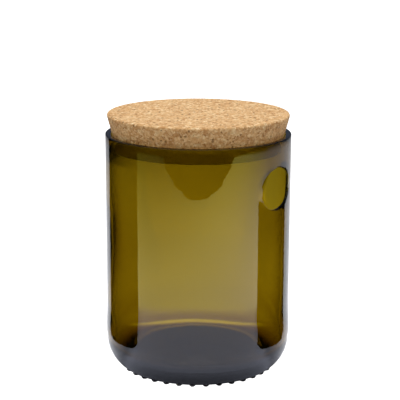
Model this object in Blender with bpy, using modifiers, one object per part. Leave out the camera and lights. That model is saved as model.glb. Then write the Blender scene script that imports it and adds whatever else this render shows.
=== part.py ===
"""Storage jar: the cut-off base of a green glass bottle, closed by a tapered cork lid.

Metres, +Z up. The origin is on the jar's axis, at the level of the knurl tips that it stands on.
The front of the jar looks towards -Y.
"""

import math

import bmesh
import bpy

MM = 0.001

# Driving dimensions of the glass
GLASS_HEIGHT = 106.0 * MM
BODY_RADIUS = 40.95 * MM
INNER_RADIUS = 38.25 * MM
RIM_EDGE_RADIUS = 0.5 * MM

# Contact band above the heel, a little wider than the body
BAND_RADIUS = 41.3 * MM
BAND_BLEND_TOP = 30.0 * MM
BAND_TOP = 18.0 * MM
BAND_BOTTOM = 16.5 * MM
BAND_FOOT = 12.6 * MM

# Heel: one large round, then a small one at the bearing ring
HEEL_RADIUS = 15.2 * MM
HEEL_CENTRE_RADIUS = 25.8 * MM
HEEL_CENTRE_HEIGHT = 13.3 * MM
HEEL_END_ANGLE = -52.0
BEARING_RADIUS = 3.0 * MM

# Inner floor: a shallow dome (the punt) that falls away to a round trough at the wall
DOME_HEIGHT = 13.9 * MM
DOME_CURVATURE = 8.3
TROUGH_RADIUS = 7.0 * MM
TROUGH_START_ANGLE = -115.0
PUNT_START_ANGLE = -115.4

# Oval flat on the wall, right of the front, where the glass is thinner; the wall's own round ends it at the sides
FLAT_HALF_WIDTH = 12.4 * MM
FLAT_HALF_HEIGHT = 9.5 * MM
FLAT_DISTANCE = 39.3 * MM
FLAT_ANGLE = 57.5
FLAT_HEIGHT = 85.6 * MM
FLAT_SIDES = 32
FLAT_CUT_DEPTH = 5.0 * MM

# Knurls: low round-backed bars in a ring on the bearing surface
KNURL_COUNT = 36
KNURL_FIRST_ANGLE = -3.7
KNURL_RING_RADIUS = 33.2 * MM
KNURL_HALF_WIDTH = 1.5 * MM
KNURL_HALF_LENGTH = 2.0 * MM
KNURL_HALF_HEIGHT = 1.2 * MM
KNURL_CENTRE_HEIGHT = 1.0 * MM
KNURL_SIDES = 12
KNURL_RINGS = 6

# Driving dimensions of the cork lid
LID_TOP = 114.9 * MM
LID_BOTTOM = 98.7 * MM
LID_WIDEST_RADIUS = 40.15 * MM
LID_TAPER_ANGLE = 15.0
LID_TOP_EDGE_RADIUS = 1.0 * MM
LID_BOTTOM_EDGE_RADIUS = 0.5 * MM

TURN_STEPS = 72
MERGE_DISTANCE = 0.00001
SHARP_ANGLE = 40.0


def clear_scene():
    for scene_object in list(bpy.data.objects):
        bpy.data.objects.remove(scene_object, do_unlink=True)


def arc(centre_radius, centre_height, radius, start, end, steps):
    """Points of a round stretch of a profile; angles in degrees, 0 pointing away from the axis."""
    points = []
    for step in range(steps + 1):
        angle = math.radians(start + (end - start) * step / steps)
        points.append((centre_radius + radius * math.cos(angle), centre_height + radius * math.sin(angle)))
    return points


def eased(start_radius, start_height, end_radius, end_height, steps):
    """Points between two radii that leave and arrive parallel to the axis, without both ends."""
    points = []
    for step in range(1, steps):
        share = step / steps
        ease = 0.5 - 0.5 * math.cos(math.pi * share)
        radius = start_radius + (end_radius - start_radius) * ease
        points.append((radius, start_height + (end_height - start_height) * share))
    return points


def dome(apex_height, curvature, edge_radius, steps):
    """Points of a shallow dome from the axis out to just before its edge."""
    points = []
    for step in range(steps):
        radius = edge_radius * step / steps
        points.append((radius, apex_height - curvature * radius * radius))
    return points


def inner_profile():
    """From the top of the floor's dome, through the trough and up the wall, to the rim."""
    centre_radius = INNER_RADIUS - TROUGH_RADIUS
    edge_angle = math.radians(TROUGH_START_ANGLE)
    edge_radius = centre_radius + TROUGH_RADIUS * math.cos(edge_angle)
    edge_height = DOME_HEIGHT - DOME_CURVATURE * edge_radius * edge_radius
    centre_height = edge_height - TROUGH_RADIUS * math.sin(edge_angle)
    points = dome(DOME_HEIGHT, DOME_CURVATURE, edge_radius, 6)
    points += arc(centre_radius, centre_height, TROUGH_RADIUS, TROUGH_START_ANGLE, 0.0, 10)
    rim_centre = INNER_RADIUS + RIM_EDGE_RADIUS
    points += arc(rim_centre, GLASS_HEIGHT - RIM_EDGE_RADIUS, RIM_EDGE_RADIUS, 180.0, 90.0, 2)
    return points


def outer_profile():
    """From the rim down the side, round the heel and the bearing ring, to the axis under the punt."""
    points = arc(BODY_RADIUS - RIM_EDGE_RADIUS, GLASS_HEIGHT - RIM_EDGE_RADIUS, RIM_EDGE_RADIUS, 90.0, 0.0, 2)
    points.append((BODY_RADIUS, BAND_BLEND_TOP))
    points += eased(BODY_RADIUS, BAND_BLEND_TOP, BAND_RADIUS, BAND_TOP, 4)
    points.append((BAND_RADIUS, BAND_TOP))
    points.append((BAND_RADIUS, BAND_BOTTOM))
    heel_start = math.degrees(math.asin((BAND_FOOT - HEEL_CENTRE_HEIGHT) / HEEL_RADIUS))
    heel = arc(HEEL_CENTRE_RADIUS, HEEL_CENTRE_HEIGHT, HEEL_RADIUS, heel_start, HEEL_END_ANGLE, 6)
    points += eased(BAND_RADIUS, BAND_BOTTOM, heel[0][0], BAND_FOOT, 2)
    points += heel[:-1]
    end_angle = math.radians(HEEL_END_ANGLE)
    bearing_centre_radius = HEEL_CENTRE_RADIUS + (HEEL_RADIUS - BEARING_RADIUS) * math.cos(end_angle)
    bearing_centre_height = HEEL_CENTRE_HEIGHT + (HEEL_RADIUS - BEARING_RADIUS) * math.sin(end_angle)
    bearing = arc(
        bearing_centre_radius, bearing_centre_height, BEARING_RADIUS, HEEL_END_ANGLE, PUNT_START_ANGLE, 5
    )
    points += bearing
    punt_radius, punt_edge_height = bearing[-1]
    slope = -1.0 / math.tan(math.radians(PUNT_START_ANGLE))
    curvature = -slope / (2.0 * punt_radius)
    punt_apex = punt_edge_height + curvature * punt_radius * punt_radius
    points += list(reversed(dome(punt_apex, curvature, punt_radius, 5)))
    return points


def lid_profile():
    """From the axis over the flat top, down the tapered side, to the axis under the lid."""
    taper = math.tan(math.radians(LID_TAPER_ANGLE))
    widest_height = LID_TOP - LID_TOP_EDGE_RADIUS
    bottom_radius = LID_WIDEST_RADIUS - (widest_height - LID_BOTTOM - LID_BOTTOM_EDGE_RADIUS) * taper
    points = [(0.0, LID_TOP)]
    points += arc(
        LID_WIDEST_RADIUS - LID_TOP_EDGE_RADIUS, widest_height, LID_TOP_EDGE_RADIUS, 90.0, -LID_TAPER_ANGLE, 4
    )
    points += arc(
        bottom_radius - LID_BOTTOM_EDGE_RADIUS,
        LID_BOTTOM + LID_BOTTOM_EDGE_RADIUS,
        LID_BOTTOM_EDGE_RADIUS,
        -LID_TAPER_ANGLE,
        -90.0,
        2,
    )
    points.append((0.0, LID_BOTTOM))
    return points


def apply_modifiers(solid):
    bpy.context.view_layer.update()
    depsgraph = bpy.context.evaluated_depsgraph_get()
    mesh = bpy.data.meshes.new_from_object(solid.evaluated_get(depsgraph))
    mesh.name = solid.name
    solid.modifiers.clear()
    solid.data = mesh


def turned(name, profile, collection):
    """A solid of revolution about the Z axis from a profile of (radius, height) points."""
    mesh = bpy.data.meshes.new(name)
    edges = [(index, index + 1) for index in range(len(profile) - 1)]
    mesh.from_pydata([(radius, 0.0, height) for radius, height in profile], edges, [])
    solid = bpy.data.objects.new(name, mesh)
    collection.objects.link(solid)
    screw = solid.modifiers.new("turn", "SCREW")
    screw.axis = "Z"
    screw.angle = math.tau
    screw.steps = TURN_STEPS
    screw.render_steps = TURN_STEPS
    screw.use_merge_vertices = True
    screw.merge_threshold = MERGE_DISTANCE
    screw.use_smooth_shade = True
    apply_modifiers(solid)
    return solid


def knurl_mesh():
    """One low bar with a round back, longer along the jar's radius, flat where it meets the ground."""
    shape = bmesh.new()
    bmesh.ops.create_uvsphere(shape, u_segments=KNURL_SIDES, v_segments=KNURL_RINGS, radius=1.0)
    bmesh.ops.scale(shape, vec=(KNURL_HALF_WIDTH, KNURL_HALF_LENGTH, KNURL_HALF_HEIGHT), verts=shape.verts)
    bmesh.ops.translate(shape, vec=(0.0, 0.0, KNURL_CENTRE_HEIGHT), verts=shape.verts)
    for vertex in shape.verts:
        vertex.co.z = max(vertex.co.z, 0.0)
    mesh = bpy.data.meshes.new("knurl")
    shape.to_mesh(mesh)
    shape.free()
    return mesh


def add_knurls(glass):
    """Joins the ring of knurls to the glass as one solid."""
    collection = bpy.data.collections.new("knurls")
    bpy.context.scene.collection.children.link(collection)
    mesh = knurl_mesh()
    for index in range(KNURL_COUNT):
        angle = math.radians(KNURL_FIRST_ANGLE + index * 360.0 / KNURL_COUNT)
        knurl = bpy.data.objects.new(f"knurl_{index:02d}", mesh)
        knurl.location = (KNURL_RING_RADIUS * math.sin(angle), -KNURL_RING_RADIUS * math.cos(angle), 0.0)
        knurl.rotation_euler = (0.0, 0.0, angle)
        collection.objects.link(knurl)
    union = glass.modifiers.new("join_knurls", "BOOLEAN")
    union.operation = "UNION"
    union.operand_type = "COLLECTION"
    union.collection = collection
    union.solver = "EXACT"
    apply_modifiers(glass)
    for knurl in list(collection.objects):
        bpy.data.objects.remove(knurl, do_unlink=True)
    bpy.data.collections.remove(collection)
    bpy.data.meshes.remove(mesh)


def cut_flat(glass):
    """Cuts the oval flat into the wall, as a disc whose flat end stands at the flat's distance from the axis."""
    cutter_distance = FLAT_DISTANCE + FLAT_CUT_DEPTH / 2.0
    angle = math.radians(FLAT_ANGLE)
    bpy.ops.mesh.primitive_cylinder_add(
        vertices=FLAT_SIDES,
        radius=1.0,
        depth=1.0,
        location=(cutter_distance * math.sin(angle), -cutter_distance * math.cos(angle), FLAT_HEIGHT),
        rotation=(math.radians(90.0), 0.0, angle),
    )
    cutter = bpy.context.object
    cutter.scale = (FLAT_HALF_WIDTH, FLAT_HALF_HEIGHT, FLAT_CUT_DEPTH)
    cutter.name = "flat_cutter"
    cutter.hide_render = True
    cutter.display_type = "WIRE"
    difference = glass.modifiers.new("cut_flat", "BOOLEAN")
    difference.operation = "DIFFERENCE"
    difference.object = cutter
    difference.solver = "EXACT"
    apply_modifiers(glass)
    bpy.data.objects.remove(cutter, do_unlink=True)


def plain_material(name, colour, roughness, transmission, index_of_refraction):
    material = bpy.data.materials.new(name)
    material.use_nodes = True
    shader = material.node_tree.nodes["Principled BSDF"]
    shader.inputs["Base Color"].default_value = colour
    shader.inputs["Metallic"].default_value = 0.0
    shader.inputs["Roughness"].default_value = roughness
    shader.inputs["Transmission Weight"].default_value = transmission
    shader.inputs["IOR"].default_value = index_of_refraction
    material.diffuse_color = colour
    return material


def finish(solid, material):
    solid.data.materials.clear()
    solid.data.materials.append(material)
    solid.data.shade_smooth()
    solid.data.set_sharp_from_angle(angle=math.radians(SHARP_ANGLE))


def make_glass_jar(collection):
    glass = turned("glass_jar", inner_profile() + outer_profile(), collection)
    cut_flat(glass)
    add_knurls(glass)
    finish(glass, plain_material("olive_bottle_glass", (0.30, 0.24, 0.02, 1.0), 0.02, 1.0, 1.52))


def make_cork_lid(collection):
    lid = turned("cork_lid", lid_profile(), collection)
    finish(lid, plain_material("agglomerated_cork", (0.60, 0.38, 0.20, 1.0), 0.85, 0.0, 1.45))


def main():
    clear_scene()
    collection = bpy.data.collections.new("storage_jar")
    bpy.context.scene.collection.children.link(collection)
    make_glass_jar(collection)
    make_cork_lid(collection)


main()
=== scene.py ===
import math

import bpy
from bpy.props import FloatProperty, FloatVectorProperty, IntProperty, PointerProperty, StringProperty
from mathutils import Matrix, Vector, noise


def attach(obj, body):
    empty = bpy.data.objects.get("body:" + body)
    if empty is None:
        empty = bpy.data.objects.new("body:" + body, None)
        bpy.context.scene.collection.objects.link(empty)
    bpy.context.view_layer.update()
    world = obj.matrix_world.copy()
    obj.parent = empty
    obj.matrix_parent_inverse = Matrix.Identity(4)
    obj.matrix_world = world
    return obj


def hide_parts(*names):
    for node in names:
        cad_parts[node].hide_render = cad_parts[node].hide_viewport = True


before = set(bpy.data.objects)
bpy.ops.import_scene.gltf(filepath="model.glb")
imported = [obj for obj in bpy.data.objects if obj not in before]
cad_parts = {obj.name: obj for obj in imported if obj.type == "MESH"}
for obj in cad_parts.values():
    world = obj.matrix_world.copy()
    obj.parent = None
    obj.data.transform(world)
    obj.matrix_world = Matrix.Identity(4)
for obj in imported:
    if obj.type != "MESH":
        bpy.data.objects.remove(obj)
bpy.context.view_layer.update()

bl_info = {
    "name": "Storage Jar",
    "version": (1, 0, 0),
    "blender": (4, 5, 0),
    "location": "3D View > Sidebar > Storage Jar",
    "description": "Builds a jar cut from a green glass bottle, with a tapered cork lid, on a pale floor",
    "category": "Add Mesh",
}

MM = 0.001
LENGTH = {"subtype": "DISTANCE", "unit": "LENGTH"}
WHITE = (1.0, 1.0, 1.0, 1.0)

# Glass, the same driving dimensions as the solid it stands for
GLASS_HEIGHT = 106.0 * MM
BODY_RADIUS = 40.95 * MM
INNER_RADIUS = 38.25 * MM
RIM_EDGE_RADIUS = 0.5 * MM
BAND_RADIUS = 41.3 * MM
BAND_BLEND_TOP = 30.0 * MM
BAND_TOP = 18.0 * MM
BAND_BOTTOM = 16.5 * MM
BAND_FOOT = 12.6 * MM
HEEL_RADIUS = 15.2 * MM
HEEL_CENTRE_RADIUS = 25.8 * MM
HEEL_CENTRE_HEIGHT = 13.3 * MM
HEEL_END_ANGLE = -52.0
BEARING_RADIUS = 3.0 * MM
DOME_HEIGHT = 13.9 * MM
DOME_CURVATURE = 8.3
TROUGH_RADIUS = 7.0 * MM
TROUGH_START_ANGLE = -115.0
PUNT_START_ANGLE = -115.4

# Cork lid
LID_TOP = 114.9 * MM
LID_BOTTOM = 98.7 * MM
LID_WIDEST_RADIUS = 40.15 * MM
LID_TAPER_ANGLE = 15.0
LID_TOP_EDGE_RADIUS = 1.0 * MM
LID_BOTTOM_EDGE_RADIUS = 0.5 * MM

# Cork seen close up: crumbs and bark flecks as shares of a granule's size, which cells are flecks, how
# far a fleck reaches from its middle, how ragged all edges are, and how strongly each thing shows
CRUMB_SHARE = 0.45
CRUMB_STRENGTH = 0.5
FLECK_SHARE = 1.1
FLECK_RARITY = 0.8
FLECK_REACH = 0.32
FLECK_STRENGTH = 0.7
RAGGED = 0.6 * MM
PIT_SHARPNESS = 5.0
PIT_SHARE = 0.6
GRAIN_SHARE = 0.4

# How far below the top the side begins, whose colour is darker than the top's, partly the cork's own tone
# and partly painted shade
SIDE_TONE_AND_SHADE_FROM_TOP = (1.0 * MM, 0.35 * MM)
# Below the rim, the part that the glass shields gets painted light: where it begins and where it is full,
# and its strength
PAINTED_LIGHT_BELOW_RIM = (0.4 * MM, 1.2 * MM)
PAINTED_LIGHT_BELOW_RIM_STRENGTH = 0.8

# Noise scales for each metre: ripples in the glass 7 mm long, cork grain 2.4 mm and ragged edges 1.4 mm
RIPPLE_SCALE = 140.0
GRAIN_SCALE = 420.0
RAGGED_SCALE = 700.0

# Where points lie closer together: heights and angles of the oval flat, and places across a mould seam
FLAT_ZONE = (74.0 * MM, 98.0 * MM)
FLAT_PITCH = 0.7
FLAT_STEPS = 30
SEAM_LINES = (-1.6, -1.1, -0.7, -0.35, 0.0, 0.35, 0.7, 1.1, 1.6)
CLOSEST_ANGLES = 0.03

# The inner side of the flat: how many degrees it reaches at most, and how far its middle is shifted.
# Then, as shares of its half sizes, where it has gone, how much farther it goes on the side turned away,
# over what length it eases into the wall, how much longer on the near side, and a middle without a side.
FLAT_REACH = 40.0
FLAT_INSIDE_SHIFT = 0.8 * MM
FLAT_END = 1.12
FLAT_END_MORE = 0.13
FLAT_EASING = 0.2
FLAT_EASING_MORE = 0.24
FLAT_MIDDLE = 0.01

# Glass that is thicker or thinner than the rest: angle from the front, height, half width in degrees,
# half height, and how far the inner wall stands in
SWELLINGS = (
    (-94.0, 60.0 * MM, 12.0, 15.0 * MM, 1.0 * MM),
    (-90.0, 88.0 * MM, 16.0, 22.0 * MM, -0.8 * MM),
    (-90.0, 30.0 * MM, 48.0, 14.0 * MM, -0.5 * MM),
    (60.0, 24.0 * MM, 22.0, 9.0 * MM, 0.35 * MM),
    (-58.0, 92.0 * MM, 20.0, 40.0 * MM, -0.6 * MM),
    (-122.0, 88.0 * MM, 20.0, 40.0 * MM, -0.6 * MM),
    (58.0, 40.0 * MM, 22.0, 38.0 * MM, -0.5 * MM),
    (118.0, 56.0 * MM, 24.0, 56.0 * MM, -0.6 * MM),
)

# The relief of the glass: none close to the axis, and inside it fades out below the rim
AXIS_CLEAR = 3.0 * MM
FADE_TOP = 102.0 * MM
FADE_LENGTH = 7.0 * MM
UNEVEN_SIZE = 26.0 * MM
UNEVEN_PLACE = (3.1, 7.7, 1.9)
RIPPLE_TOP = GLASS_HEIGHT - 2.0 * MM
RIPPLE_SIZE = 7.0 * MM
RIPPLE_PLACE = (11.3, 2.1, 5.9)
RIPPLE_LEVEL = 0.5
PARTING_HALF_WIDTH = 0.45 * MM
CUTTER_DEPTH = 5.0 * MM
CUTTER_STEPS = 120
SHARP_FROM = 35.0

# Soft pools of light on the floor: middle, half sizes in metres, turn in degrees and linear colour.
# In front of the jar a warm one and a bluer one overlap, and behind it one is neutral.
FRONT_POOLS = (
    ((0.03, -0.06), (0.60, 0.37), -45.0, (3.15, 3.15, 0.0)),
    ((0.13, 0.15), (0.36, 0.43), 0.0, (0.0, 0.0, 2.7)),
)
BACK_POOLS = (((0.0, 0.0), (0.70, 0.70), 0.0, (1.16, 1.17, 1.22)),)
FRONT_TO_BACK = 30.0 * MM

# Next to the jar the floor is in its soft shade, which is lighter straight in front than on both sides
# and reaches a little farther to the front
SHADE_LIGHT = (1.35, 1.42, 1.75)
SHADE_BESIDE = 0.42
SHADE_AHEAD = (0.3, 0.5)
SHADE_NARROWING = (1.12, 1.0, 1.0)
SHADE_INNER = 144.0 * MM
SHADE_OUTER = 166.0 * MM

# Under the jar there is almost no light
DARK_INNER = 30.0 * MM
DARK_OUTER_FRONT = 56.0 * MM
DARK_OUTER_BACK = 38.0 * MM
# A black band standing under the jar inside its foot, met only by reflections and what the glass bends:
# painted shade under the jar
UNDER_RADIUS = 26.5 * MM
UNDER_HEIGHT = 3.0 * MM
UNDER_STEPS = 96

# A bright ring close behind the foot, where the glass gathers the light
GATHERED_RADIUS = 44.5 * MM
GATHERED_WIDTH = 3.5 * MM
GATHERED_LIGHT = (3.1, 4.8, 0.3)
GATHERED_BEHIND = (28.0 * MM, 44.0 * MM)

# Dark cards on the floor: side, then for the front and the rear edge the place on the wall that mirrors
# it and the direction it lies in from there, in degrees from the front, how far the card reaches, and
# how far its tongue does, which lies in the directions that the oval flat mirrors
CARDS = (
    ("card_left", -1.0, (38.7, 80.2), (70.5, 143.6), 1.5, 1.5),
    ("card_right", 1.0, (38.0, 79.8), (67.0, 137.5), 0.345, 0.452),
)
CARD_GAP = 33.0 * MM
CARD_CORNER = 24.0 * MM
CARD_ROUNDING = 4
CARD_STEPS = 60
CARD_LIFT = 0.4 * MM
TONGUE_FROM = 112.0
TONGUE_TO = 125.0

# The floor, and how often light passes through or off the glass
FLOOR_HALF_WIDTH = 3.0
FLOOR_BACK = 5.0
FLOOR_DROP = 0.05 * MM
GLASS_BOUNCES = 24
MIRROR_BOUNCES = 12


def linear(code):
    """The linear colour of an sRGB hex code such as "d7af7d", with full alpha."""
    channels = [int(code[index : index + 2], 16) / 255.0 for index in (0, 2, 4)]
    return (*(c / 12.92 if c <= 0.04045 else ((c + 0.055) / 1.055) ** 2.4 for c in channels), 1.0)


def add_node(tree, kind, settings=None, inputs=None):
    """Adds a node, sets its properties, and links or fills its inputs by name or number."""
    node = tree.nodes.new(kind)
    for name, value in (settings or {}).items():
        setattr(node, name, value)
    for key, value in (inputs or {}).items():
        if isinstance(value, bpy.types.NodeSocket):
            tree.links.new(value, node.inputs[key])
        else:
            node.inputs[key].default_value = value
    return node


def math_node(tree, operation, *values, clamp=False):
    """The result of a math node on sockets or numbers."""
    settings = {"operation": operation, "use_clamp": clamp}
    return add_node(tree, "ShaderNodeMath", settings, dict(enumerate(values))).outputs[0]


def vector_node(tree, operation, inputs, output="Vector"):
    """The result of a vector math node."""
    return add_node(tree, "ShaderNodeVectorMath", {"operation": operation}, inputs).outputs[output]


def smooth_step(tree, value, start, end, low=0.0, high=1.0):
    """Eases from low to high while the value goes from start to end."""
    inputs = {"Value": value, "From Min": start, "From Max": end, "To Min": low, "To Max": high}
    return add_node(tree, "ShaderNodeMapRange", {"interpolation_type": "SMOOTHSTEP"}, inputs).outputs[0]


def mixed_colour(tree, factor, first, second, blend="MIX"):
    """Two colours mixed by a factor."""
    settings = {"data_type": "RGBA", "blend_type": blend}
    return add_node(tree, "ShaderNodeMix", settings, {"Factor": factor, 6: first, 7: second}).outputs[2]


def mixed_shader(tree, factor, first, second):
    """Two shaders mixed by a factor."""
    inputs = {0: factor, 1: first.outputs[0], 2: second.outputs[0]}
    return add_node(tree, "ShaderNodeMixShader", inputs=inputs)


def ramp(tree, factor, stops):
    """A colour ramp from (position, sRGB hex) stops."""
    node = add_node(tree, "ShaderNodeValToRGB", inputs={"Fac": factor})
    elements = node.color_ramp.elements
    while len(elements) < len(stops):
        elements.new(0.5)
    for element, (position, code) in zip(elements, stops):
        element.position = position
        element.color = linear(code)
    return node.outputs["Color"]


def new_material(name):
    """An empty node material with its output node."""
    material = bpy.data.materials.new(name)
    material.use_nodes = True
    tree = material.node_tree
    tree.nodes.clear()
    return material, tree, tree.nodes.new("ShaderNodeOutputMaterial")


def azimuth_point(radius, degrees, height):
    """A point by its angle from -Y towards +X."""
    angle = math.radians(degrees)
    return Vector((radius * math.sin(angle), -radius * math.cos(angle), height))


def turned_from(angle, middle):
    """An angle measured from another, between -180 and 180 degrees."""
    return (angle - middle + 180.0) % 360.0 - 180.0


def even_angles(count):
    """Angles in degrees that divide a full turn."""
    return [step * 360.0 / count for step in range(count)]


def new_mesh(name, vertices, faces):
    """A mesh from its points and faces."""
    mesh = bpy.data.meshes.new(name)
    mesh.from_pydata(vertices, [], faces)
    return mesh


def new_object(name, mesh):
    """A new object in the scene."""
    piece = bpy.data.objects.new(name, mesh)
    bpy.context.scene.collection.objects.link(piece)
    return piece


def apply_modifiers(piece):
    """Turns the piece with its modifiers into a plain mesh."""
    bpy.context.view_layer.update()
    evaluated = piece.evaluated_get(bpy.context.evaluated_depsgraph_get())
    mesh = bpy.data.meshes.new_from_object(evaluated)
    piece.modifiers.clear()
    piece.data = mesh
    mesh.name = piece.name


def arc(centre_radius, centre_height, radius, start, end, steps):
    """Points of a round stretch of a profile; angles in degrees, 0 pointing away from the axis."""
    points = []
    for step in range(steps + 1):
        angle = math.radians(start + (end - start) * step / steps)
        points.append((centre_radius + radius * math.cos(angle), centre_height + radius * math.sin(angle)))
    return points


def eased(start_radius, start_height, end_radius, end_height, steps):
    """Points between two radii that leave and arrive parallel to the axis, without both ends."""
    points = []
    for step in range(1, steps):
        share = step / steps
        ease = 0.5 - 0.5 * math.cos(math.pi * share)
        height = start_height + (end_height - start_height) * share
        points.append((start_radius + (end_radius - start_radius) * ease, height))
    return points


def straight(start, end, steps):
    """Points of a straight stretch, without both ends."""
    return [tuple(Vector(start).lerp(Vector(end), step / steps)) for step in range(1, steps)]


def dome(apex_height, curvature, edge_radius, steps):
    """Points of a shallow dome from the axis out to just before its edge."""
    radii = [edge_radius * step / steps for step in range(steps)]
    return [(radius, apex_height - curvature * radius * radius) for radius in radii]


def inner_profile():
    """From the top of the floor's dome, through the trough and up the wall, to the rim."""
    centre_radius = INNER_RADIUS - TROUGH_RADIUS
    edge_angle = math.radians(TROUGH_START_ANGLE)
    edge_radius = centre_radius + TROUGH_RADIUS * math.cos(edge_angle)
    edge_height = DOME_HEIGHT - DOME_CURVATURE * edge_radius * edge_radius
    centre_height = edge_height - TROUGH_RADIUS * math.sin(edge_angle)
    wall_top = GLASS_HEIGHT - RIM_EDGE_RADIUS
    points = dome(DOME_HEIGHT, DOME_CURVATURE, edge_radius, steps=20)
    points += arc(centre_radius, centre_height, TROUGH_RADIUS, TROUGH_START_ANGLE, 0.0, steps=22)
    points += straight((INNER_RADIUS, centre_height), (INNER_RADIUS, FLAT_ZONE[0]), steps=24)
    points += straight((INNER_RADIUS, FLAT_ZONE[0]), (INNER_RADIUS, FLAT_ZONE[1]), steps=32)
    points += straight((INNER_RADIUS, FLAT_ZONE[1]), (INNER_RADIUS, wall_top), steps=4)
    points += arc(INNER_RADIUS + RIM_EDGE_RADIUS, wall_top, RIM_EDGE_RADIUS, 180.0, 90.0, steps=4)
    return points


def outer_profile():
    """From the rim down the side, round the heel and the bearing ring, to the axis under the punt."""
    wall_top = GLASS_HEIGHT - RIM_EDGE_RADIUS
    points = arc(BODY_RADIUS - RIM_EDGE_RADIUS, wall_top, RIM_EDGE_RADIUS, 90.0, 0.0, steps=4)
    points += straight((BODY_RADIUS, wall_top), (BODY_RADIUS, BAND_BLEND_TOP), steps=24)
    points.append((BODY_RADIUS, BAND_BLEND_TOP))
    points += eased(BODY_RADIUS, BAND_BLEND_TOP, BAND_RADIUS, BAND_TOP, steps=10)
    points += [(BAND_RADIUS, BAND_TOP), (BAND_RADIUS, BAND_BOTTOM)]
    heel_start = math.degrees(math.asin((BAND_FOOT - HEEL_CENTRE_HEIGHT) / HEEL_RADIUS))
    heel_centre = (HEEL_CENTRE_RADIUS, HEEL_CENTRE_HEIGHT)
    heel = arc(*heel_centre, HEEL_RADIUS, heel_start, HEEL_END_ANGLE, steps=48)
    points += eased(BAND_RADIUS, BAND_BOTTOM, heel[0][0], BAND_FOOT, steps=5)
    points += heel[:-1]
    end_angle = math.radians(HEEL_END_ANGLE)
    bearing_centre = (
        HEEL_CENTRE_RADIUS + (HEEL_RADIUS - BEARING_RADIUS) * math.cos(end_angle),
        HEEL_CENTRE_HEIGHT + (HEEL_RADIUS - BEARING_RADIUS) * math.sin(end_angle),
    )
    bearing = arc(*bearing_centre, BEARING_RADIUS, HEEL_END_ANGLE, PUNT_START_ANGLE, steps=14)
    points += bearing
    punt_radius, punt_edge_height = bearing[-1]
    slope = -1.0 / math.tan(math.radians(PUNT_START_ANGLE))
    curvature = -slope / (2.0 * punt_radius)
    punt_apex = punt_edge_height + curvature * punt_radius * punt_radius
    points += list(reversed(dome(punt_apex, curvature, punt_radius, steps=18)))
    return points


def lid_profile():
    """From the axis over the flat top, down the tapered side, to the axis under the lid."""
    taper = math.tan(math.radians(LID_TAPER_ANGLE))
    widest_height = LID_TOP - LID_TOP_EDGE_RADIUS
    bottom_height = LID_BOTTOM + LID_BOTTOM_EDGE_RADIUS
    bottom_radius = LID_WIDEST_RADIUS - (widest_height - bottom_height) * taper
    top_centre = (LID_WIDEST_RADIUS - LID_TOP_EDGE_RADIUS, widest_height)
    top_edge = arc(*top_centre, LID_TOP_EDGE_RADIUS, 90.0, -LID_TAPER_ANGLE, steps=6)
    bottom_centre = (bottom_radius - LID_BOTTOM_EDGE_RADIUS, bottom_height)
    bottom_edge = arc(*bottom_centre, LID_BOTTOM_EDGE_RADIUS, -LID_TAPER_ANGLE, -90.0, steps=4)
    points = [(0.0, LID_TOP)]
    points += straight((0.0, LID_TOP), top_edge[0], steps=60)
    points += top_edge
    points += straight(top_edge[-1], bottom_edge[0], steps=26)
    points += bottom_edge
    points += straight(bottom_edge[-1], (0.0, LID_BOTTOM), steps=40)
    points.append((0.0, LID_BOTTOM))
    return points


def turned_mesh(name, profile, angles, relief=None):
    """A closed mesh turned about Z; relief gives how far each point moves away from the axis."""
    vertices = [(0.0, 0.0, profile[0][1])]
    for index, (radius, height) in enumerate(profile[1:-1], start=1):
        for angle in angles:
            shift = relief(index, radius, height, angle) if relief else 0.0
            vertices.append(azimuth_point(radius + shift, angle, height))
    vertices.append((0.0, 0.0, profile[-1][1]))
    count = len(angles)
    rings = len(profile) - 2
    last = len(vertices) - 1
    faces = []
    for step in range(count):
        following = (step + 1) % count
        faces.append((0, 1 + step, 1 + following))
        for ring in range(rings - 1):
            upper = 1 + ring * count
            lower = upper + count
            faces.append((upper + step, lower + step, lower + following, upper + following))
        tail = 1 + (rings - 1) * count
        faces.append((last, tail + following, tail + step))
    mesh = new_mesh(name, vertices, faces)
    mesh.update()
    return mesh


def face_outward(mesh):
    """Turns all faces round if the closed mesh encloses its volume inside out."""
    volume = 0.0
    mesh.calc_loop_triangles()
    for triangle in mesh.loop_triangles:
        a, b, c = (mesh.vertices[index].co for index in triangle.vertices)
        volume += a.dot(b.cross(c))
    if volume < 0.0:
        mesh.flip_normals()


def glass_angles(settings):
    """Angles round the jar in degrees, closer together across both mould seams and the oval flat."""
    pitch = 360.0 / settings.steps_around
    angles = {round(pitch * step, 5) for step in range(settings.steps_around)}
    flat_steps = range(-FLAT_STEPS, FLAT_STEPS + 1)
    angles |= {round(settings.flat_angle + FLAT_PITCH * step, 5) for step in flat_steps}
    for seam in (settings.seam_angle, settings.seam_angle + 180.0):
        for share in SEAM_LINES:
            degrees = math.degrees(share * settings.seam_width / BODY_RADIUS)
            angles.add(round((seam + degrees) % 360.0, 5))
    kept = []
    for angle in sorted(angles):
        if not kept or angle - kept[-1] > CLOSEST_ANGLES:
            kept.append(angle)
    return kept


def uneven_wall(settings, point, height, angle):
    """How far the blown inner wall stands outward of a true round."""
    shift = settings.wall_unevenness * noise.noise(point / UNEVEN_SIZE + Vector(UNEVEN_PLACE))
    for middle, level, half_angle, half_height, depth in SWELLINGS:
        aside = turned_from(angle, middle) / half_angle
        above = (height - level) / half_height
        shift -= depth * math.exp(-aside * aside - above * above)
    return shift


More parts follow.
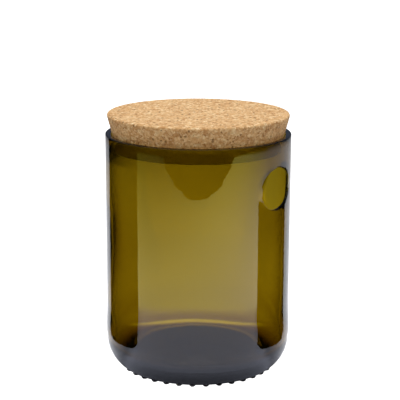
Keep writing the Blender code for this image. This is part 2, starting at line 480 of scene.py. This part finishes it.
def with_flat_inside(settings, radius, height, angle, shift):
    """The inner wall's shift, where the inner side of the oval flat is flat too and eases into the wall."""
    if abs(turned_from(angle, settings.flat_angle)) >= FLAT_REACH:
        return shift
    turned = math.radians(turned_from(angle, settings.flat_angle))
    to_plane = settings.flat_inner_distance / math.cos(turned) - radius
    half_width = settings.flat_half_width - FLAT_INSIDE_SHIFT
    aside = (radius * math.sin(turned) - FLAT_INSIDE_SHIFT) / half_width
    above = (height - settings.flat_height) / settings.flat_half_height
    away = max(FLAT_MIDDLE, math.hypot(aside, above))
    easing = FLAT_EASING + FLAT_EASING_MORE * max(0.0, -aside / away)
    end = FLAT_END + FLAT_END_MORE * max(0.0, aside / away)
    share = min(1.0, max(0.0, (end - away) / easing))
    return shift + (to_plane - shift) * share * share * (3.0 - 2.0 * share)


def moulded_side(settings, point, radius, height, angle):
    """How far the outside stands out: mould seams, the line round the heel and a faint ripple."""
    if radius <= HEEL_CENTRE_RADIUS:
        return 0.0
    seams = (settings.seam_angle, settings.seam_angle + 180.0)
    from_seam = min(abs(turned_from(angle, seam)) for seam in seams)
    across = math.radians(from_seam) * radius / (settings.seam_width * 0.5)
    shift = settings.seam_height * math.exp(-across * across)
    line = (height - settings.parting_height) / PARTING_HALF_WIDTH
    shift += settings.parting_relief * math.exp(-line * line)
    if height < RIPPLE_TOP:
        ripple = noise.noise(point / RIPPLE_SIZE + Vector(RIPPLE_PLACE))
        shift += settings.ripple * min(0.0, ripple - RIPPLE_LEVEL)
    return shift


def glass_relief(settings, inner_count):
    """How the blown and moulded glass departs from a true turned form."""

    def relief(index, radius, height, angle):
        if radius < AXIS_CLEAR:
            return 0.0
        point = azimuth_point(radius, angle, height)
        if index >= inner_count:
            return moulded_side(settings, point, radius, height, angle)
        fade = min(1.0, max(0.0, (FADE_TOP - height) / FADE_LENGTH))
        fade *= min(1.0, radius / INNER_RADIUS) ** 2
        shift = uneven_wall(settings, point, height, angle)
        return fade * with_flat_inside(settings, radius, height, angle, shift)

    return relief


def new_tree(name, inputs):
    """A geometry node group that takes and gives a geometry, with more inputs by name and kind."""
    tree = bpy.data.node_groups.new(name, "GeometryNodeTree")
    tree.interface.new_socket("Geometry", in_out="OUTPUT", socket_type="NodeSocketGeometry")
    tree.interface.new_socket("Geometry", in_out="INPUT", socket_type="NodeSocketGeometry")
    for socket, kind in inputs.items():
        tree.interface.new_socket(socket, in_out="INPUT", socket_type=kind)
    return tree, add_node(tree, "NodeGroupInput").outputs


def finish_tree(tree, geometry, material):
    """Gives the geometry its material and hands it out."""
    inputs = {"Geometry": geometry.outputs[0], "Material": material}
    painted = add_node(tree, "GeometryNodeSetMaterial", inputs=inputs)
    add_node(tree, "NodeGroupOutput", inputs={"Geometry": painted.outputs[0]})
    return tree


def add_nodes_modifier(piece, name, tree, values):
    """Adds a nodes modifier and fills its named inputs through their socket identifiers."""
    modifier = piece.modifiers.new(name, "NODES")
    modifier.node_group = tree
    for socket in tree.interface.items_tree:
        if socket.in_out == "INPUT" and socket.name in values:
            modifier[socket.identifier] = values[socket.name]


def knurl_tree():
    """Geometry nodes that set a ring of low round-backed bars, flat where they meet the ground."""
    sockets = {
        "Count": "NodeSocketInt",
        "Ring Radius": "NodeSocketFloat",
        "Bar Size": "NodeSocketVector",
        "Bar Height": "NodeSocketFloat",
        "First Angle": "NodeSocketFloat",
        "Material": "NodeSocketMaterial",
    }
    tree, given = new_tree("knurl_ring", sockets)
    ring = {"Vertices": given["Count"], "Radius": given["Ring Radius"]}
    circle = add_node(tree, "GeometryNodeMeshCircle", inputs=ring)
    bar = {"Segments": 24, "Rings": 12, "Radius": 1.0}
    sphere = add_node(tree, "GeometryNodeMeshUVSphere", inputs=bar)
    turn = math_node(tree, "DIVIDE", math.tau, given["Count"])
    index = add_node(tree, "GeometryNodeInputIndex").outputs[0]
    euler = add_node(tree, "ShaderNodeCombineXYZ", inputs={"Z": math_node(tree, "MULTIPLY", index, turn)})
    rotation = add_node(tree, "FunctionNodeEulerToRotation", inputs={0: euler.outputs[0]})
    copies = {
        "Points": circle.outputs[0],
        "Instance": sphere.outputs[0],
        "Rotation": rotation.outputs[0],
        "Scale": given["Bar Size"],
    }
    bars = add_node(tree, "GeometryNodeInstanceOnPoints", inputs=copies)
    solid = add_node(tree, "GeometryNodeRealizeInstances", inputs={0: bars.outputs[0]})
    lift = add_node(tree, "ShaderNodeCombineXYZ", inputs={"Z": given["Bar Height"]})
    spin = add_node(tree, "ShaderNodeCombineXYZ", inputs={"Z": given["First Angle"]})
    spin_rotation = add_node(tree, "FunctionNodeEulerToRotation", inputs={0: spin.outputs[0]})
    moves = {
        "Geometry": solid.outputs[0],
        "Translation": lift.outputs[0],
        "Rotation": spin_rotation.outputs[0],
    }
    placed = add_node(tree, "GeometryNodeTransform", inputs=moves)
    # Whatever would reach below the ground is pressed flat onto it
    position = add_node(tree, "GeometryNodeInputPosition").outputs[0]
    place = add_node(tree, "ShaderNodeSeparateXYZ", inputs={0: position}).outputs
    grounded = {"X": place["X"], "Y": place["Y"], "Z": math_node(tree, "MAXIMUM", place["Z"], 0.0)}
    pressed = add_node(tree, "ShaderNodeCombineXYZ", inputs=grounded)
    flattened = {"Geometry": placed.outputs[0], "Position": pressed.outputs[0]}
    return finish_tree(tree, add_node(tree, "GeometryNodeSetPosition", inputs=flattened), given["Material"])


def boolean(piece, operation, other):
    """Cuts another piece from this one, or joins it to it, and removes the other."""
    modifier = piece.modifiers.new(operation.lower(), "BOOLEAN")
    modifier.operation = operation
    modifier.object = other
    modifier.solver = "EXACT"
    apply_modifiers(piece)
    bpy.data.objects.remove(other, do_unlink=True)


def make_glass_material(settings):
    """Dead-leaf green bottle glass: clear and glossy, darker and browner the longer the way through it."""
    material, tree, output = new_material("olive_bottle_glass")
    place = add_node(tree, "ShaderNodeTexCoord").outputs["Object"]
    # Long shallow ripples of moulded glass, which bend the edges of reflections a little
    waves = {"Vector": place, "Scale": RIPPLE_SCALE, "Detail": 2.0}
    ripples = add_node(tree, "ShaderNodeTexNoise", inputs=waves)
    relief = {"Height": ripples.outputs[0], "Strength": settings.bump_strength, "Distance": 0.2 * MM}
    bump = add_node(tree, "ShaderNodeBump", inputs=relief)
    shader = add_node(
        tree,
        "ShaderNodeBsdfPrincipled",
        inputs={
            "Base Color": WHITE,
            "Metallic": 0.0,
            "Roughness": 0.0,
            "IOR": settings.refraction,
            "Transmission Weight": 1.0,
            "Normal": bump.outputs[0],
        },
    )
    tint = {"Color": (*settings.absorption_colour, 1.0), "Density": settings.absorption_density}
    absorption = add_node(tree, "ShaderNodeVolumeAbsorption", inputs=tint)
    tree.links.new(shader.outputs[0], output.inputs["Surface"])
    tree.links.new(absorption.outputs[0], output.inputs["Volume"])
    return material


class JarGlassSettings(bpy.types.PropertyGroup):
    steps_around: IntProperty(
        name="Steps Around", description="Faces round the glass", default=252, min=72, max=720
    )
    refraction: FloatProperty(
        name="Refraction", description="Index of refraction of the glass", default=1.52, min=1.0, max=2.5
    )
    absorption_colour: FloatVectorProperty(
        name="Absorption Colour",
        description="What the glass lets through, as linear colour",
        subtype="COLOR",
        size=3,
        min=0.0,
        max=1.0,
        default=(0.776, 0.707, 0.1),
    )
    absorption_density: FloatProperty(
        name="Absorption Density",
        description="How fast the glass darkens, for each metre",
        default=1400.0,
        min=0.0,
    )
    wall_unevenness: FloatProperty(
        name="Wall Unevenness",
        description="How far the blown inner wall wanders",
        default=0.12 * MM,
        min=0.0,
        **LENGTH,
    )
    ripple: FloatProperty(
        name="Ripple", description="Depth of the faint ripple outside", default=0.01 * MM, min=0.0, **LENGTH
    )
    bump_strength: FloatProperty(
        name="Ripple Shading", description="Strength of the finest ripples", default=0.09, min=0.0, max=1.0
    )
    seam_angle: FloatProperty(
        name="Seam Angle",
        description="Mould seam in degrees from the front; another is opposite",
        default=-22.4,
    )
    seam_width: FloatProperty(
        name="Seam Width", description="Width of a mould seam", default=0.5 * MM, **LENGTH
    )
    seam_height: FloatProperty(
        name="Seam Height", description="Height of a mould seam", default=0.035 * MM, **LENGTH
    )
    parting_height: FloatProperty(
        name="Parting Line", description="Height of the line round the heel", default=8.6 * MM, **LENGTH
    )
    parting_relief: FloatProperty(
        name="Parting Relief", description="How far that line stands out", default=0.08 * MM, **LENGTH
    )
    flat_half_width: FloatProperty(
        name="Flat Half Width",
        description="Half width of the disc that cuts the oval flat",
        default=12.4 * MM,
        **LENGTH,
    )
    flat_half_height: FloatProperty(
        name="Flat Half Height", description="Half height of the flat", default=9.5 * MM, **LENGTH
    )
    flat_distance: FloatProperty(
        name="Flat Distance", description="From the axis to the flat", default=39.3 * MM, **LENGTH
    )
    flat_inner_distance: FloatProperty(
        name="Flat Inside", description="From the axis to the flat's inner side", default=38.3 * MM, **LENGTH
    )
    flat_edge: FloatProperty(
        name="Flat Edge", description="Radius of its rounded edge", default=0.5 * MM, **LENGTH
    )
    flat_angle: FloatProperty(name="Flat Angle", description="Flat in degrees from the front", default=57.5)
    flat_height: FloatProperty(
        name="Flat Height", description="Height of the flat's middle", default=85.6 * MM, **LENGTH
    )
    knurl_count: IntProperty(name="Knurls", description="Knurls in the base ring", default=36, min=3)
    knurl_ring_radius: FloatProperty(
        name="Knurl Ring", description="Radius of their ring", default=33.2 * MM, **LENGTH
    )
    knurl_size: FloatVectorProperty(
        name="Knurl Size",
        description="Half length along the radius, half width and half height",
        size=3,
        default=(2.0 * MM, 1.5 * MM, 1.2 * MM),
        subtype="XYZ",
        unit="LENGTH",
    )
    knurl_centre_height: FloatProperty(
        name="Knurl Height", description="Height of a knurl's middle", default=1.0 * MM, **LENGTH
    )
    knurl_first_angle: FloatProperty(
        name="First Knurl", description="Degrees from the front", default=-3.7
    )


class JarLidSettings(bpy.types.PropertyGroup):
    steps_around: IntProperty(
        name="Steps Around", description="Faces round the lid", default=480, min=72, max=960
    )
    granule: FloatProperty(
        name="Granule", description="Size of a cork granule", default=1.5 * MM, **LENGTH
    )
    relief: FloatProperty(
        name="Relief", description="Depth of the pits between granules", default=0.12 * MM, **LENGTH
    )
    bark: StringProperty(name="Bark", description="Darkest flecks, sRGB hex", default="6b4a26")
    pale: StringProperty(name="Pale", description="Palest granules, sRGB hex", default="f4dcb0")


class JarStageSettings(bpy.types.PropertyGroup):
    camera_position: FloatVectorProperty(
        name="Camera",
        description="Where the camera stands",
        size=3,
        default=(0.00084, -0.56907, 0.20935),
        subtype="XYZ",
        unit="LENGTH",
    )
    camera_tilt: FloatProperty(name="Tilt", description="Degrees the camera looks down", default=13.26)
    camera_roll: FloatProperty(name="Roll", description="Degrees the camera leans", default=0.206)
    camera_lens: FloatProperty(name="Lens", description="Focal length in millimetres", default=117.99)
    floor_front: FloatProperty(
        name="Floor Front", description="Where the floor ends towards the camera", default=-0.4, **LENGTH
    )
    floor_glow: FloatProperty(
        name="Floor Glow", description="Brightness of the floor to the camera", default=1.4
    )
    sky: FloatProperty(
        name="Top Light", description="Strength of the soft light from above", default=1.9
    )
    bounce: FloatProperty(
        name="Bounce", description="Light that the floor sends back up to matt surfaces", default=0.62
    )
    sky_gloss: FloatProperty(
        name="Room", description="Brightness of the room in reflections", default=0.2
    )


class JAR_OT_glass(bpy.types.Operator):
    """Builds the glass: wall, heel, domed floor, oval flat and the ring of knurls"""

    bl_idname = "jar.glass"
    bl_label = "Glass"

    def execute(self, context):
        settings = context.scene.jar_glass
        material = make_glass_material(settings)
        inner = inner_profile()
        relief = glass_relief(settings, len(inner))
        mesh = turned_mesh("jar_glass", inner + outer_profile(), glass_angles(settings), relief)
        face_outward(mesh)
        mesh.materials.append(material)
        glass = new_object("jar_glass", mesh)
        boolean(glass, "DIFFERENCE", self.flat_cutter(settings, material))
        boolean(glass, "UNION", self.knurls(settings, material))
        glass.data.shade_smooth()
        glass.data.set_sharp_from_angle(angle=math.radians(SHARP_FROM))
        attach(glass, "root")
        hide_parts("glass_jar")
        return {"FINISHED"}

    def flat_cutter(self, settings, material):
        """An oval disc whose flat end, with a softly rounded edge, leaves the flat on the wall."""
        edge = settings.flat_edge
        half_height = settings.flat_half_height
        profile = [(0.0, 0.0)]
        profile += straight((0.0, 0.0), (half_height - edge, 0.0), steps=12)
        profile += arc(half_height - edge, edge, edge, -90.0, 0.0, steps=10)
        profile += [(half_height, CUTTER_DEPTH), (0.0, CUTTER_DEPTH)]
        mesh = turned_mesh("flat_cutter", profile, even_angles(CUTTER_STEPS))
        mesh.transform(Matrix.Diagonal((settings.flat_half_width / half_height, 1.0, 1.0, 1.0)))
        outward = azimuth_point(1.0, settings.flat_angle, 0.0)
        sideways = azimuth_point(1.0, settings.flat_angle + 90.0, 0.0)
        upward = Vector((0.0, 0.0, 1.0))
        turn = Matrix((sideways, upward, outward)).transposed().to_4x4()
        middle = outward * settings.flat_distance + upward * settings.flat_height
        mesh.transform(Matrix.Translation(middle) @ turn)
        face_outward(mesh)
        mesh.materials.append(material)
        return new_object("flat_cutter", mesh)

    def knurls(self, settings, material):
        """The ring of knurls, made by its geometry nodes."""
        ring = new_object("knurls", bpy.data.meshes.new("knurls"))
        values = {
            "Count": settings.knurl_count,
            "Ring Radius": settings.knurl_ring_radius,
            "Bar Size": settings.knurl_size,
            "Bar Height": settings.knurl_centre_height,
            "First Angle": math.radians(settings.knurl_first_angle - 90.0),
            "Material": material,
        }
        add_nodes_modifier(ring, "knurls", knurl_tree(), values)
        apply_modifiers(ring)
        return ring


def cork_relief_tree():
    """Geometry nodes that sink the seams between cork granules and roughen the surface."""
    sockets = {"Granule": "NodeSocketFloat", "Relief": "NodeSocketFloat", "Material": "NodeSocketMaterial"}
    tree, given = new_tree("cork_relief", sockets)
    scale = math_node(tree, "DIVIDE", 1.0, given["Granule"])
    place = add_node(tree, "GeometryNodeInputPosition").outputs[0]
    granules = {"Vector": place, "Scale": scale}
    cells = add_node(tree, "ShaderNodeTexVoronoi", {"feature": "DISTANCE_TO_EDGE"}, granules)
    inside = math_node(tree, "MULTIPLY", cells.outputs["Distance"], PIT_SHARPNESS, clamp=True)
    pits = math_node(tree, "MULTIPLY", math_node(tree, "SUBTRACT", 1.0, inside), PIT_SHARE)
    rough = {"Vector": place, "Scale": GRAIN_SCALE, "Detail": 3.0}
    grain = add_node(tree, "ShaderNodeTexNoise", inputs=rough)
    depth = math_node(tree, "ADD", pits, math_node(tree, "MULTIPLY", grain.outputs[0], GRAIN_SHARE))
    sunk = math_node(tree, "MULTIPLY", math_node(tree, "MULTIPLY", depth, given["Relief"]), -1.0)
    normal = add_node(tree, "GeometryNodeInputNormal").outputs[0]
    offset = vector_node(tree, "SCALE", {0: normal, "Scale": sunk})
    moves = {"Geometry": given["Geometry"], "Offset": offset}
    moved = add_node(tree, "GeometryNodeSetPosition", inputs=moves)
    solid = add_node(tree, "GeometryNodeRealizeInstances", inputs={0: moved.outputs[0]})
    return finish_tree(tree, solid, given["Material"])


def granule_cells(tree, place, size):
    """A random value for each granule of that size, and the distance from its middle."""
    cells = add_node(tree, "ShaderNodeTexVoronoi", inputs={"Vector": place, "Scale": 1.0 / size}).outputs
    parts = add_node(tree, "ShaderNodeSeparateColor", inputs={0: cells["Color"]})
    return parts.outputs[0], cells["Distance"]


def make_cork_material(settings):
    """Agglomerated cork: pale and tan granules a millimetre or two across, and small brown bark flecks."""
    material, tree, output = new_material("agglomerated_cork")
    place = add_node(tree, "ShaderNodeTexCoord").outputs["Object"]
    waves = {"Vector": place, "Scale": RAGGED_SCALE, "Detail": 2.0}
    wander = add_node(tree, "ShaderNodeTexNoise", inputs=waves)
    shift = vector_node(tree, "SCALE", {0: wander.outputs["Color"], "Scale": RAGGED})
    ragged = vector_node(tree, "ADD", {0: place, 1: shift})
    # Granules: each with its own shade
    shade = granule_cells(tree, ragged, settings.granule)[0]
    granule_tones = (
        (0.0, "a9794a"),
        (0.18, "c4935f"),
        (0.5, "dbb07c"),
        (0.82, "e6c293"),
        (1.0, settings.pale),
    )
    granules = ramp(tree, shade, granule_tones)
    # Crumbs pressed in among the granules
    crumb_shade, crumb_distance = granule_cells(tree, ragged, settings.granule * CRUMB_SHARE)
    crumb_tones = ((0.0, "8f6236"), (0.25, "bf8f5c"), (0.7, "dfb683"), (1.0, "fbe6c0"))
    mixed = mixed_colour(tree, CRUMB_STRENGTH, granules, ramp(tree, crumb_shade, crumb_tones))
    # Bark flecks: few, small and dark brown
    fleck_shade, fleck_distance = granule_cells(tree, ragged, settings.granule * FLECK_SHARE)
    chosen = math_node(tree, "GREATER_THAN", fleck_shade, FLECK_RARITY)
    near = math_node(tree, "LESS_THAN", fleck_distance, FLECK_REACH)
    flecks = math_node(tree, "MULTIPLY", math_node(tree, "MULTIPLY", chosen, near), FLECK_STRENGTH)
    coloured = mixed_colour(tree, flecks, mixed, linear(settings.bark))
    # The side is darker and more mauve than the top: partly the cork's own tone, partly painted shade for a
    # side that gets less light from above
    height = add_node(tree, "ShaderNodeSeparateXYZ", inputs={0: place}).outputs["Z"]
    top = smooth_step(tree, height, LID_TOP - SIDE_TONE_AND_SHADE_FROM_TOP[0], LID_TOP - SIDE_TONE_AND_SHADE_FROM_TOP[1])
    side = mixed_colour(tree, 1.0, coloured, linear("ede5da"), "MULTIPLY")
    top_and_shaded_side = mixed_colour(tree, top, side, coloured)
    # Below the rim, where the glass shields it, the cork is painted an even, lighter greenish grey: painted
    # light for the green-tinted light that reaches it through the glass
    below_rim = (GLASS_HEIGHT - PAINTED_LIGHT_BELOW_RIM[0], GLASS_HEIGHT - PAINTED_LIGHT_BELOW_RIM[1])
    painted_light_below_rim = smooth_step(tree, height, *below_rim, high=PAINTED_LIGHT_BELOW_RIM_STRENGTH)
    colour = mixed_colour(tree, painted_light_below_rim, top_and_shaded_side, linear("bfc0aa"))
    relief = {"Height": crumb_distance, "Strength": 0.5, "Distance": 0.3 * MM}
    bump = add_node(tree, "ShaderNodeBump", inputs=relief)
    shader = add_node(
        tree,
        "ShaderNodeBsdfPrincipled",
        inputs={
            "Base Color": colour,
            "Metallic": 0.0,
            "Roughness": 0.85,
            "Specular IOR Level": 0.25,
            "Normal": bump.outputs[0],
        },
    )
    tree.links.new(shader.outputs[0], output.inputs["Surface"])
    return material


class JAR_OT_lid(bpy.types.Operator):
    """Builds the tapered cork lid that rests in the mouth"""

    bl_idname = "jar.lid"
    bl_label = "Cork Lid"

    def execute(self, context):
        settings = context.scene.jar_lid
        material = make_cork_material(settings)
        mesh = turned_mesh("jar_cork_lid", lid_profile(), even_angles(settings.steps_around))
        face_outward(mesh)
        lid = new_object("jar_cork_lid", mesh)
        values = {"Granule": settings.granule, "Relief": settings.relief, "Material": material}
        add_nodes_modifier(lid, "relief", cork_relief_tree(), values)
        apply_modifiers(lid)
        lid.data.shade_smooth()
        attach(lid, "root")
        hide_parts("cork_lid")
        return {"FINISHED"}


def light_of_pools(tree, place, pools):
    """The light that overlapping oval pools give a place on the floor, each brightest in its middle."""
    total = (0.0, 0.0, 0.0)
    for middle, sizes, turn, colour in pools:
        outline = {
            "Vector": place,
            "Location": (*middle, 0.0),
            "Rotation": (0.0, 0.0, math.radians(turn)),
            "Scale": (*sizes, 1.0),
        }
        inside = add_node(tree, "ShaderNodeMapping", {"vector_type": "TEXTURE"}, outline).outputs[0]
        square = vector_node(tree, "DOT_PRODUCT", {0: inside, 1: inside}, "Value")
        fall = math_node(tree, "EXPONENT", math_node(tree, "MULTIPLY", square, -1.0))
        pool = vector_node(tree, "SCALE", {0: colour, "Scale": fall})
        total = vector_node(tree, "ADD", {0: total, 1: pool})
    return total


def light_of_shade(tree, place, depth, away):
    """The light in the jar's soft shade, and where the floor is out of it."""
    narrowed = vector_node(tree, "MULTIPLY", {0: place, 1: SHADE_NARROWING})
    shade_way = vector_node(tree, "LENGTH", {0: narrowed}, "Value")
    unshaded = smooth_step(tree, shade_way, SHADE_INNER, SHADE_OUTER)
    ahead = math_node(tree, "DIVIDE", math_node(tree, "MULTIPLY", depth, -1.0), away)
    level = smooth_step(tree, ahead, *SHADE_AHEAD, low=SHADE_BESIDE)
    return vector_node(tree, "SCALE", {0: SHADE_LIGHT, "Scale": level}), unshaded


def gathered_light(tree, depth, away):
    """The bright ring that the glass gathers close behind the foot."""
    offset = math_node(tree, "DIVIDE", math_node(tree, "SUBTRACT", away, GATHERED_RADIUS), GATHERED_WIDTH)
    square = math_node(tree, "POWER", offset, 2.0)
    ring = math_node(tree, "EXPONENT", math_node(tree, "MULTIPLY", square, -1.0))
    far_side = smooth_step(tree, depth, *GATHERED_BEHIND)
    level = math_node(tree, "MULTIPLY", ring, far_side)
    return vector_node(tree, "SCALE", {0: GATHERED_LIGHT, "Scale": level})


def make_floor_material(settings):
    """Smooth white floor: the camera sees it plain, and the glass sees it lit in soft pools."""
    material, tree, output = new_material("white_floor")
    place = add_node(tree, "ShaderNodeTexCoord").outputs["Object"]
    depth = add_node(tree, "ShaderNodeSeparateXYZ", inputs={0: place}).outputs["Y"]
    away = vector_node(tree, "LENGTH", {0: place}, "Value")
    behind = smooth_step(tree, depth, -FRONT_TO_BACK, FRONT_TO_BACK)
    shade, unshaded = light_of_shade(tree, place, depth, away)
    front_light = mixed_colour(tree, unshaded, shade, light_of_pools(tree, place, FRONT_POOLS))
    light = mixed_colour(tree, behind, front_light, light_of_pools(tree, place, BACK_POOLS))
    light = vector_node(tree, "ADD", {0: light, 1: gathered_light(tree, depth, away)})
    reach = math_node(tree, "MULTIPLY", behind, DARK_OUTER_BACK - DARK_OUTER_FRONT)
    clear = smooth_step(tree, away, DARK_INNER, math_node(tree, "ADD", reach, DARK_OUTER_FRONT))
    glow = add_node(tree, "ShaderNodeEmission", inputs={"Color": light, "Strength": clear})
    plain = add_node(tree, "ShaderNodeEmission", inputs={"Color": WHITE, "Strength": settings.floor_glow})
    from_camera = add_node(tree, "ShaderNodeLightPath").outputs["Is Camera Ray"]
    seen = mixed_shader(tree, from_camera, glow, plain)
    tree.links.new(seen.outputs[0], output.inputs["Surface"])
    return material


def make_card_material(name):
    """Matt black card, which mirrors nothing."""
    material, tree, output = new_material(name)
    paper = {"Base Color": linear("050505"), "Roughness": 1.0, "Specular IOR Level": 0.0}
    shader = add_node(tree, "ShaderNodeBsdfPrincipled", inputs=paper)
    tree.links.new(shader.outputs[0], output.inputs["Surface"])
    return material


def card_mesh(name, side, front, rear, reach, tongue):
    """A fan on the floor that starts close to the wall, from its front edge to its rear edge."""
    vertices = []
    for step in range(CARD_STEPS + 1):
        share = step / CARD_STEPS
        wall_angle = front[0] + (rear[0] - front[0]) * share
        direction = front[1] + (rear[1] - front[1]) * share
        far = tongue if TONGUE_FROM < direction < TONGUE_TO else reach
        near = CARD_GAP + CARD_CORNER * abs(2.0 * share - 1.0) ** CARD_ROUNDING
        foot = azimuth_point(BAND_RADIUS, side * wall_angle, CARD_LIFT)
        vertices.append(foot + azimuth_point(near, side * direction, 0.0))
        vertices.append(foot + azimuth_point(far, side * direction, 0.0))
    faces = [(first, first + 1, first + 3, first + 2) for first in range(0, 2 * CARD_STEPS, 2)]
    return new_mesh(name, vertices, faces)


def band_mesh(name, radius, top, steps):
    """An open upright band round the axis, standing on the floor."""
    vertices = []
    for angle in even_angles(steps):
        for height in (0.0, top):
            vertices.append(azimuth_point(radius, angle, height))
    count = 2 * steps
    faces = [(low, low + 1, (low + 3) % count, (low + 2) % count) for low in range(0, count, 2)]
    return new_mesh(name, vertices, faces)


class JAR_OT_stage(bpy.types.Operator):
    """Sets the pale floor, the soft light, the dark cards round the jar and the camera"""

    bl_idname = "jar.stage"
    bl_label = "Stage"

    def execute(self, context):
        settings = context.scene.jar_stage
        self.make_floor(settings)
        for name, *outline in CARDS:
            self.make_card(name, card_mesh(name, *outline))
        # The black band under the jar is painted shade
        self.make_card("shade_under_jar", band_mesh("shade_under_jar", UNDER_RADIUS, UNDER_HEIGHT, UNDER_STEPS))
        self.make_world(context.scene, settings)
        self.make_camera(context.scene, settings)
        self.set_view(context.scene)
        return {"FINISHED"}

    def make_floor(self, settings):
        """A flat floor that ends in front of the camera's lens and casts no light on matt surfaces."""
        left, right = -FLOOR_HALF_WIDTH, FLOOR_HALF_WIDTH
        front, back = settings.floor_front, FLOOR_BACK
        corners = [(left, front, 0.0), (right, front, 0.0), (right, back, 0.0), (left, back, 0.0)]
        mesh = new_mesh("floor", corners, [(0, 1, 2, 3)])
        mesh.materials.append(make_floor_material(settings))
        floor = new_object("floor", mesh)
        floor.location.z = -FLOOR_DROP
        floor.visible_diffuse = False

    def make_card(self, name, mesh):
        """A matt black card, which only reflections and what the glass bends can meet."""
        mesh.materials.append(make_card_material(name + "_black"))
        card = new_object(name, mesh)
        card.visible_camera = False
        card.visible_diffuse = False
        card.visible_shadow = False

    def make_world(self, scene, settings):
        """White to the camera, a soft light from above on matt surfaces, and a dim room in the glass."""
        world = bpy.data.worlds.new("studio")
        scene.world = world
        world.use_nodes = True
        tree = world.node_tree
        tree.nodes.clear()
        path = add_node(tree, "ShaderNodeLightPath").outputs
        direction = add_node(tree, "ShaderNodeTexCoord").outputs["Generated"]
        upward = add_node(tree, "ShaderNodeSeparateXYZ", inputs={0: direction}).outputs["Z"]
        above = math_node(tree, "MULTIPLY", math_node(tree, "MAXIMUM", upward, 0.0), settings.sky)
        below = math_node(tree, "MULTIPLY", math_node(tree, "LESS_THAN", upward, 0.0), settings.bounce)
        soft = {"Color": linear("fffdf8"), "Strength": math_node(tree, "ADD", above, below)}
        matt = add_node(tree, "ShaderNodeBackground", inputs=soft)
        horizon = {"Value": upward, "From Min": -0.002, "From Max": 0.01}
        room_share = add_node(tree, "ShaderNodeMapRange", inputs=horizon).outputs[0]
        dimness = math_node(tree, "MULTIPLY", room_share, settings.sky_gloss)
        dim = {"Color": linear("b4c0dc"), "Strength": dimness}
        room = add_node(tree, "ShaderNodeBackground", inputs=dim)
        white = add_node(tree, "ShaderNodeBackground", inputs={"Color": WHITE, "Strength": 1.05})
        scattered = math_node(tree, "GREATER_THAN", path["Diffuse Depth"], 0.5)
        seen = mixed_shader(tree, scattered, room, matt)
        final = mixed_shader(tree, path["Is Camera Ray"], seen, white)
        add_node(tree, "ShaderNodeOutputWorld", inputs={"Surface": final.outputs[0]})
        world.cycles.sampling_method = "NONE"

    def make_camera(self, scene, settings):
        """The camera at the photograph's height, tilt and distance."""
        data = bpy.data.cameras.new("camera")
        data.lens = settings.camera_lens
        data.sensor_width = 36.0
        data.clip_start = 0.01
        data.clip_end = 20.0
        camera = new_object("camera", data)
        tilt = Matrix.Rotation(math.radians(90.0 - settings.camera_tilt), 4, "X")
        roll = Matrix.Rotation(math.radians(settings.camera_roll), 4, "Z")
        camera.matrix_world = Matrix.Translation(settings.camera_position) @ tilt @ roll
        scene.camera = camera

    def set_view(self, scene):
        """Plain colours, and enough bounces to see through all walls of the jar."""
        scene.view_settings.view_transform = "Standard"
        scene.cycles.max_bounces = GLASS_BOUNCES
        scene.cycles.transmission_bounces = GLASS_BOUNCES
        scene.cycles.glossy_bounces = MIRROR_BOUNCES


class JAR_PT_panel(bpy.types.Panel):
    """Buttons and settings of the storage jar"""

    bl_idname = "JAR_PT_panel"
    bl_label = "Storage Jar"
    bl_space_type = "VIEW_3D"
    bl_region_type = "UI"
    bl_category = "Storage Jar"

    def draw(self, context):
        scene = context.scene
        groups = (
            (JAR_OT_glass, scene.jar_glass),
            (JAR_OT_lid, scene.jar_lid),
            (JAR_OT_stage, scene.jar_stage),
        )
        for operator, settings in groups:
            box = self.layout.box()
            for name in settings.bl_rna.properties.keys():
                if name not in {"rna_type", "name"}:
                    box.prop(settings, name)
            box.operator(operator.bl_idname)


CLASSES = (
    JarGlassSettings,
    JarLidSettings,
    JarStageSettings,
    JAR_OT_glass,
    JAR_OT_lid,
    JAR_OT_stage,
    JAR_PT_panel,
)


def register():
    for item in CLASSES:
        bpy.utils.register_class(item)
    bpy.types.Scene.jar_glass = PointerProperty(type=JarGlassSettings)
    bpy.types.Scene.jar_lid = PointerProperty(type=JarLidSettings)
    bpy.types.Scene.jar_stage = PointerProperty(type=JarStageSettings)


def unregister():
    del bpy.types.Scene.jar_stage
    del bpy.types.Scene.jar_lid
    del bpy.types.Scene.jar_glass
    for item in reversed(CLASSES):
        bpy.utils.unregister_class(item)


def main():
    register()
    bpy.ops.jar.glass()
    bpy.ops.jar.lid()
    bpy.ops.jar.stage()


if __name__ == "__main__":
    main()
